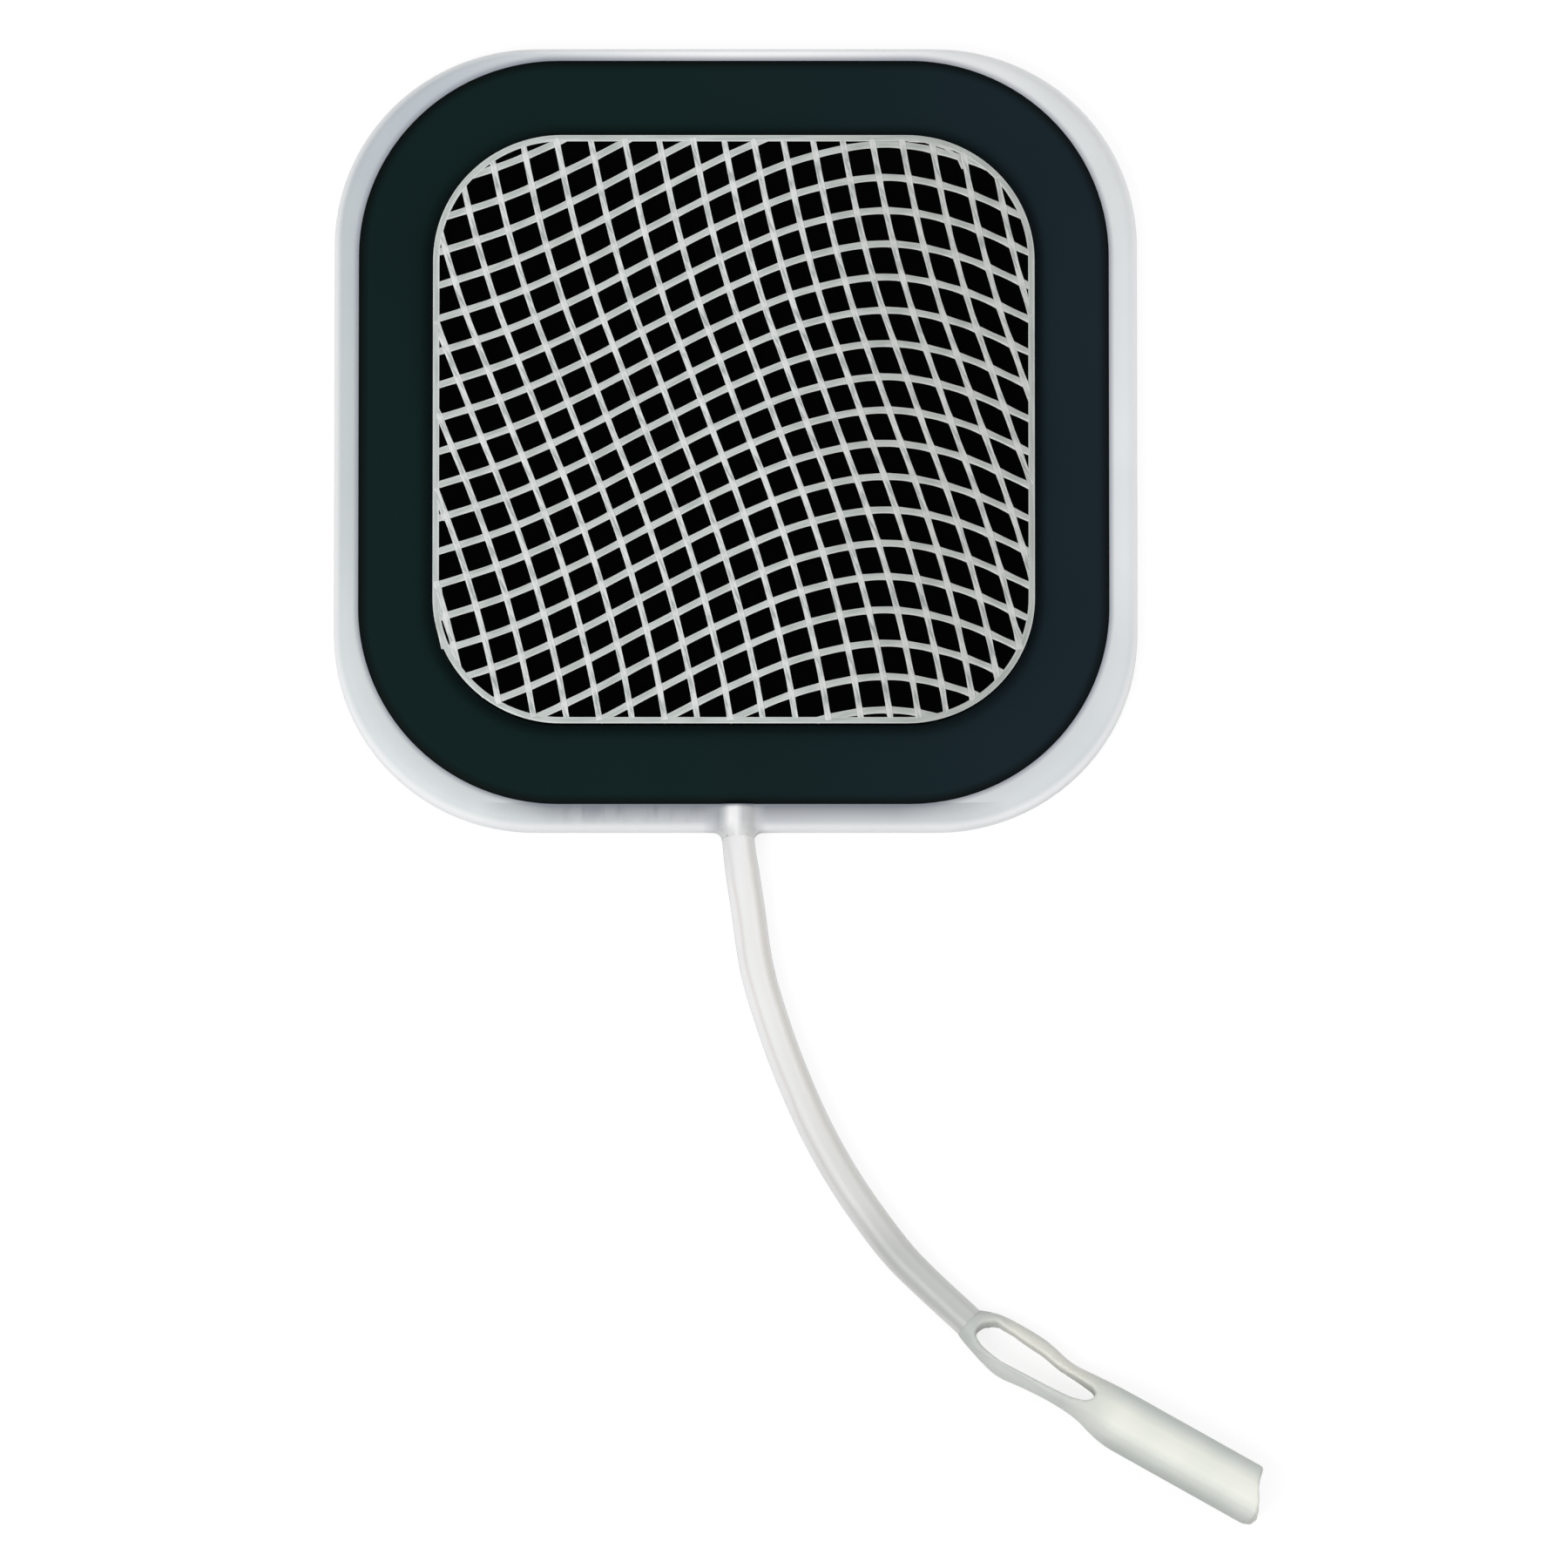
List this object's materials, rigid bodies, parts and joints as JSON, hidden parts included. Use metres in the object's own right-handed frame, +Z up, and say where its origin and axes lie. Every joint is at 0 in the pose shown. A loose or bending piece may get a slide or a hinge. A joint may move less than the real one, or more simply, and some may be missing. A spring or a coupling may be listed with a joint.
{
  "type": "tens electrode pad",
  "caption": "Square self-adhesive skin electrode with a soft white backing, black carbon film, netted gel patch and a short white lead ending in a small socket connector.",
  "frame": {"origin": "bottom centre of the pad, without the lead and its connector", "axes": "+Z up through the pad to its skin side, -Y the side that the lead leaves"},
  "size_m": [0.0577, 0.0933, 0.0036],
  "materials": {
    "backing_foam": "satin",
    "carbon_film": "satin",
    "clear_gel": "gloss",
    "net_thread": "matte",
    "bare_strand": "satin",
    "lead_sheath": "satin",
    "connector_plastic": "satin",
    "contact_metal": "satin"
  },
  "bodies": {
    "root": {"foam_backing": "backing_foam", "carbon_film": "carbon_film", "hydrogel": "clear_gel", "scrim_net": "net_thread", "conductor_fan": "bare_strand", "lead_wire": "lead_sheath", "connector_housing": "connector_plastic", "core_wire": "bare_strand", "socket_contact": "contact_metal"}
  },
  "joints": []
}
